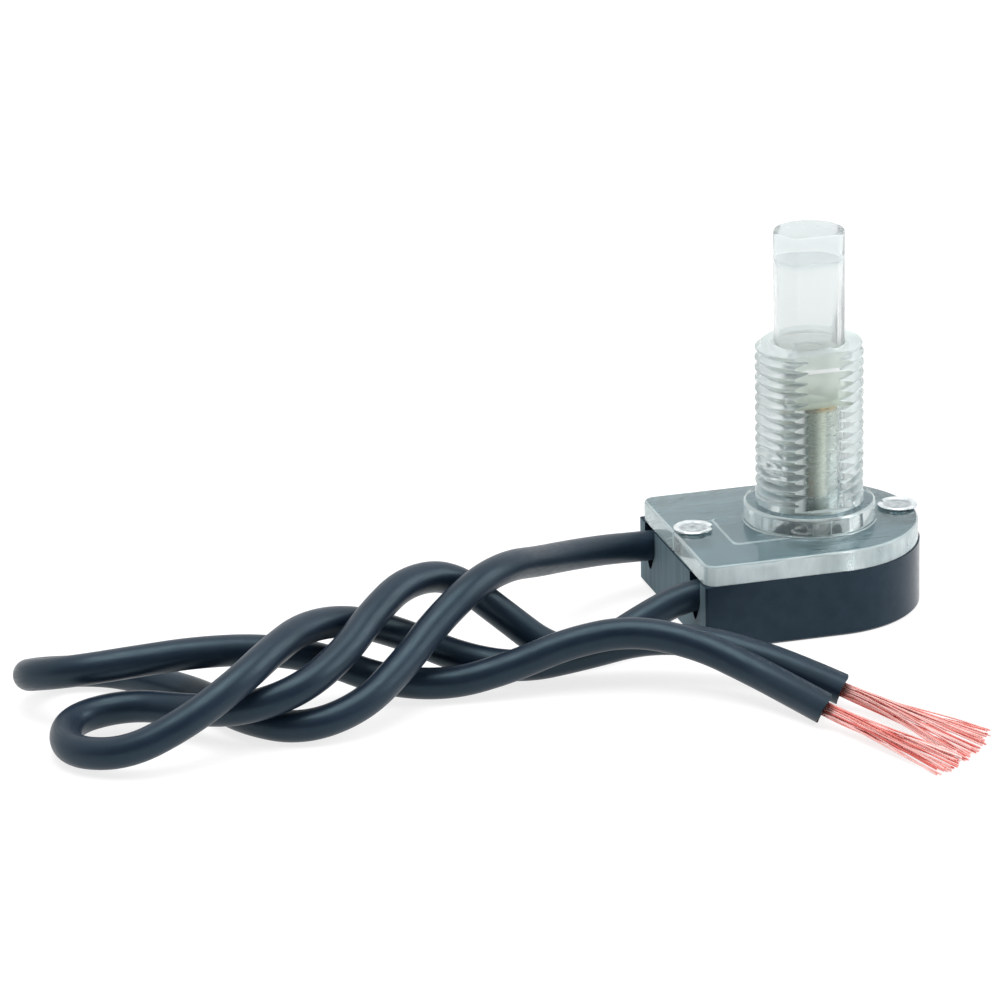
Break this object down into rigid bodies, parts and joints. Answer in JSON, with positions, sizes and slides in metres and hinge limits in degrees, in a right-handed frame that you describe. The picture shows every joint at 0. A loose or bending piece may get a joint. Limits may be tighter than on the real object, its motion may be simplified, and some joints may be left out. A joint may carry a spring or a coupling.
{
  "type": "appliance switch",
  "caption": "Push-button canopy switch with a clear cover and threaded clear bushing on a black D-shaped base, and insulated leads with bare stranded ends.",
  "frame": {"origin": "on the base's flat underside, on the bushing's axis", "axes": "+Z along the bushing towards the button, -X towards the end the leads leave from"},
  "size_m": [0.0821, 0.0519, 0.034],
  "materials": {
    "base": "moulded black phenolic, satin",
    "clear": "clear moulded plastic, polished",
    "clear_button": "clear moulded plastic, polished",
    "spring": "drawn spring steel wire",
    "sleeve": "bright plated tube",
    "rotor": "moulded dark plastic",
    "contact": "stamped brass",
    "terminal": "tin-plated brass strip",
    "rivet": "plated steel",
    "insulation": "black vinyl, satin",
    "copper": "bare drawn copper"
  },
  "bodies": {
    "housing": {"base_housing": "base", "clear_cover": "clear", "return_spring": "spring", "terminal_far": "terminal", "terminal_near": "terminal", "rivet_lead_end": "rivet", "rivet_round_end": "rivet", "lead_far": "insulation", "lead_near": "insulation", "core_far": "copper", "core_near": "copper", "strands_far": "copper", "strands_near": "copper"},
    "button": {"push_button": "clear_button", "plunger_sleeve": "sleeve"},
    "rotor": {"cam_rotor": "rotor", "contact_bridge": "contact"}
  },
  "joints": [
    {"name": "button_press", "type": "slide", "parent": "housing", "child": "button", "axis": [0, 0, -1], "range_m": [0, 0.003], "stiffness_N_per_m": 800, "springref_m": -0.002, "deforming": ["return_spring"]},
    {"name": "rotor_turn", "type": "hinge", "parent": "housing", "child": "rotor", "pos_m": [0, 0, 0.002], "axis": [0, 0, 1], "range_deg": [0, 90.5]}
  ],
  "couplings": [
    {"joint": "rotor_turn", "follows": "button_press", "rad_per_m": 523.6}
  ]
}
